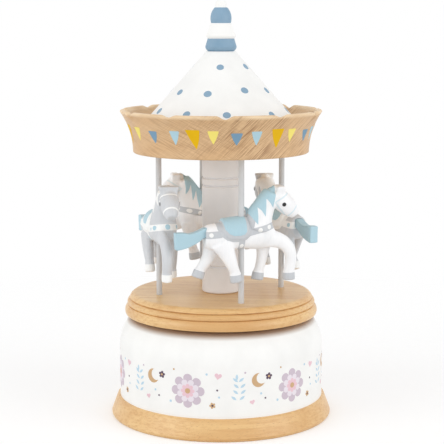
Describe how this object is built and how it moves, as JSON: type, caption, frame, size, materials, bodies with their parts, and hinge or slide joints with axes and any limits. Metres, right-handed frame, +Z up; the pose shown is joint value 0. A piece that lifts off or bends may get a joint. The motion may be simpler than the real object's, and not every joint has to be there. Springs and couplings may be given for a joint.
{
  "type": "carousel music box",
  "caption": "Wooden carousel music box: a turntable with horses on poles under a flared canopy and cone roof turns on a round base that holds a wound music movement.",
  "frame": {"origin": "centre of the plinth's underside, on the turning axis", "axes": "+Z up along the turning axis; -Y towards the viewer of the picture, +X to the viewer's right"},
  "size_m": [0.11, 0.11, 0.206],
  "materials": {
    "beech": "turned beech, clear matt lacquer",
    "white_wood": "wood with matt white paint",
    "pale_grey_wood": "wood with matt pale grey paint",
    "painted_finial": "wood painted in steel blue and white, matt",
    "white_horse": "carved wood, white paint with painted harness, satin",
    "grey_horse": "carved wood, grey paint with painted harness, satin",
    "blue_tail": "wood with matt light blue paint",
    "cover_board": "plain fibreboard",
    "grey_pole": "satin light grey paint",
    "screw_steel": "zinc plated",
    "movement_steel": "bright steel",
    "movement_casting": "die cast, as cast",
    "movement_brass": "machined brass",
    "spring_steel": "blued spring strip",
    "washer_plastic": "moulded nylon",
    "fan_plastic": "moulded plastic"
  },
  "bodies": {
    "base": {"base_plinth": "beech", "base_drum": "white_wood", "bottom_cover": "cover_board", "cover_screws": "screw_steel", "turntable_washer": "washer_plastic", "arbor_bush": "movement_brass", "movement_bedplate": "movement_casting", "movement_screws": "screw_steel", "spring_bracket": "movement_casting", "spring_housing": "movement_steel", "mainspring": "spring_steel", "cylinder_inner_plate": "movement_casting", "train_plate": "movement_casting", "comb": "movement_steel", "comb_seat": "movement_casting", "comb_screws": "screw_steel", "governor_bracket": "movement_casting"},
    "carousel": {"winding_arbor": "movement_steel", "great_wheel": "movement_brass", "turntable_hub": "movement_casting", "hub_screws": "screw_steel", "platform": "beech", "column": "pale_grey_wood", "pole_front": "grey_pole", "pole_right": "grey_pole", "pole_back": "grey_pole", "pole_left": "grey_pole", "horse_front": "white_horse", "horse_right": "grey_horse", "horse_back": "white_horse", "horse_left": "grey_horse", "tail_front": "blue_tail", "tail_right": "blue_tail", "tail_back": "blue_tail", "tail_left": "blue_tail", "canopy_ceiling": "beech", "canopy_rim": "beech", "roof_cone": "white_wood", "finial": "painted_finial"},
    "cylinder": {"cylinder_arbor": "movement_steel", "pin_cylinder": "movement_brass", "cylinder_pinion": "movement_brass", "cylinder_wheel": "movement_brass"},
    "governor_wheel": {"governor_arbor": "movement_steel", "governor_pinion": "movement_brass", "worm_wheel": "movement_brass"},
    "governor": {"worm_shaft": "movement_steel", "governor_fan": "fan_plastic"}
  },
  "joints": [
    {"name": "carousel_spin", "type": "hinge", "parent": "base", "child": "carousel", "pos_m": [0, 0, 0], "axis": [0, 0, 1], "continuous": true},
    {"name": "cylinder_spin", "type": "hinge", "parent": "base", "child": "cylinder", "pos_m": [0.014, 0, 0.02774], "axis": [1, 0, 0], "continuous": true},
    {"name": "governor_wheel_spin", "type": "hinge", "parent": "base", "child": "governor_wheel", "pos_m": [0.024, -0.012, 0.02774], "axis": [1, 0, 0], "continuous": true},
    {"name": "governor_spin", "type": "hinge", "parent": "base", "child": "governor", "pos_m": [0.0295, -0.0175, 0.012], "axis": [0, 0, 1], "continuous": true}
  ],
  "couplings": [
    {"joint": "cylinder_spin", "follows": "carousel_spin", "ratio": -2},
    {"joint": "governor_wheel_spin", "follows": "carousel_spin", "ratio": 8},
    {"joint": "governor_spin", "follows": "carousel_spin", "ratio": 160}
  ]
}
